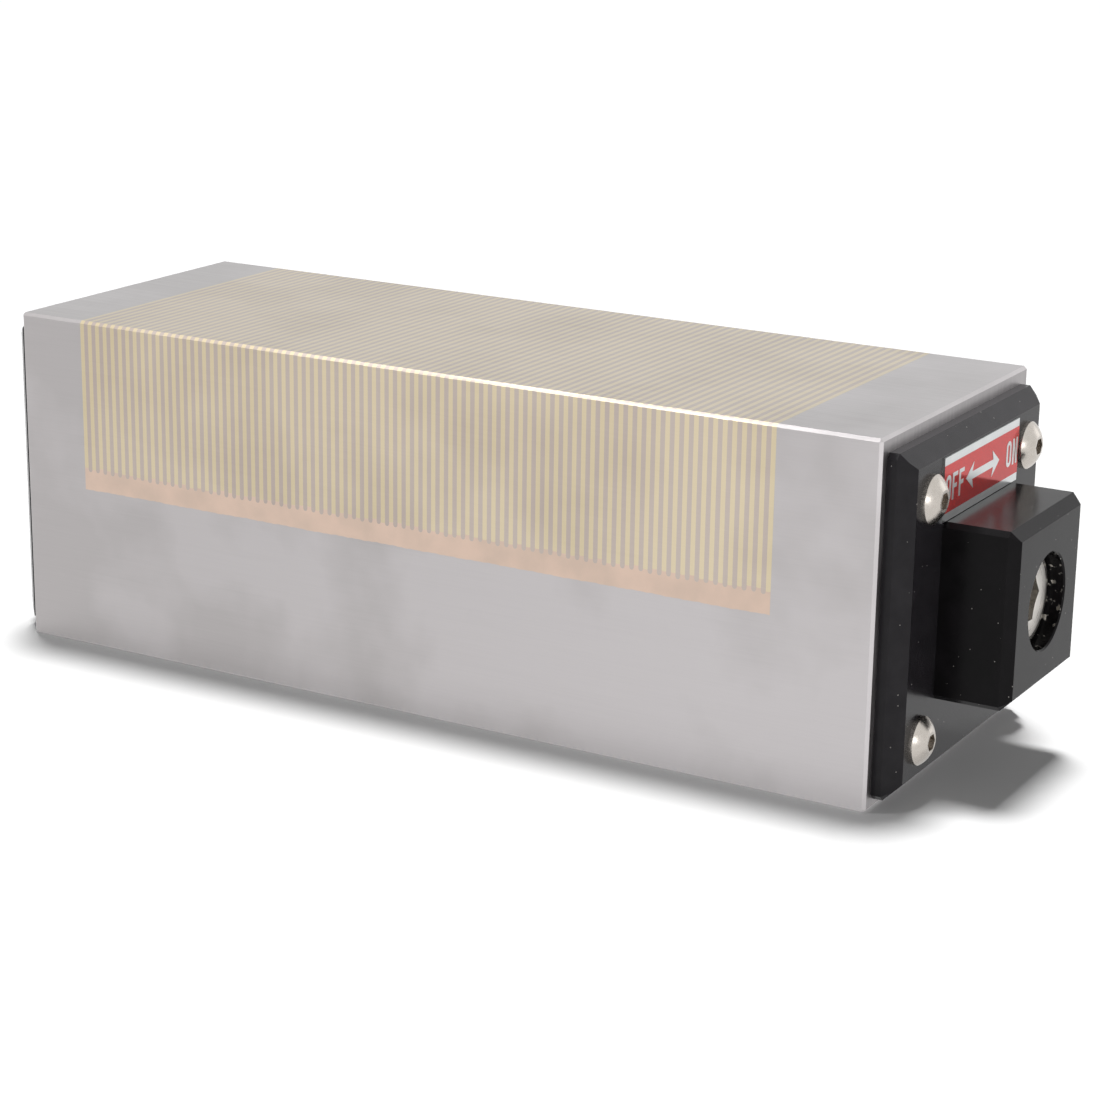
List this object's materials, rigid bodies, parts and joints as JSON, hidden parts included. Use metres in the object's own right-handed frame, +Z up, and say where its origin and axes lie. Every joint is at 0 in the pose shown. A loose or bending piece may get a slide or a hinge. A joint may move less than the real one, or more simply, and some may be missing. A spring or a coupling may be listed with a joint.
{
  "type": "magnetic chuck",
  "caption": "Switchable permanent magnetic chuck: ground steel block with fine poles across its top and sides, black end plates and a drive block with a hex-socket spindle.",
  "frame": {"origin": "centre of the body's ground underside", "axes": "+X along the chuck to the drive end, -Y out of the front working face, +Z up out of the top working face"},
  "size_m": [0.2277, 0.072, 0.072],
  "materials": {
    "ground_steel": "fine ground, satin",
    "pole_steel": "fine ground, satin",
    "pole_brass": "fine ground, satin",
    "braze_copper": "ground copper braze, slightly uneven",
    "anodised_plate": "black anodised, satin",
    "anodised_block": "black anodised, satin",
    "stainless_screw": "bright stainless",
    "nameplate": "red printed plate with bare silver edges, glossy",
    "spindle_steel": "turned, bright",
    "bronze": "machined bronze",
    "zinc_fastener": "zinc plated",
    "cam_steel": "hardened and ground",
    "carriage_steel": "milled steel",
    "magnet": "sintered magnet, matte grey",
    "seal_rubber": "black rubber"
  },
  "bodies": {
    "housing": {"body": "ground_steel", "pole_pack_steel_poles": "pole_steel", "pole_pack_brass_strips": "pole_brass", "pole_pack_braze_bands": "braze_copper", "end_plate_drive": "anodised_plate", "end_plate_blank": "anodised_plate", "end_plate_drive_screws": "stainless_screw", "end_plate_blank_screws": "stainless_screw", "drive_block": "anodised_block", "drive_block_screws": "zinc_fastener", "nameplate": "nameplate", "spindle_bush": "bronze", "spindle_thrust_washer": "bronze", "spindle_stop_pin": "cam_steel", "carriage_slide_strips": "bronze"},
    "spindle": {"drive_spindle": "spindle_steel", "spindle_seal": "seal_rubber", "barrel_cam": "cam_steel", "barrel_cam_screw": "zinc_fastener"},
    "carriage": {"carriage_base": "carriage_steel", "carriage_pole_shoes": "carriage_steel", "carriage_magnets": "magnet", "carriage_tie_rods": "zinc_fastener", "carriage_tie_nuts": "zinc_fastener", "carriage_yoke": "bronze", "carriage_yoke_screws": "zinc_fastener", "carriage_follower_pin": "cam_steel"}
  },
  "joints": [
    {"name": "spindle_turn", "type": "hinge", "parent": "housing", "child": "spindle", "pos_m": [0.11, 0, 0.0354], "axis": [-1, 0, 0], "range_deg": [0, 180]},
    {"name": "carriage_slide", "type": "slide", "parent": "housing", "child": "carriage", "axis": [1, 0, 0], "range_m": [0, 0.006]}
  ],
  "couplings": [
    {"joint": "spindle_turn", "follows": "carriage_slide", "rad_per_m": 523.6}
  ]
}
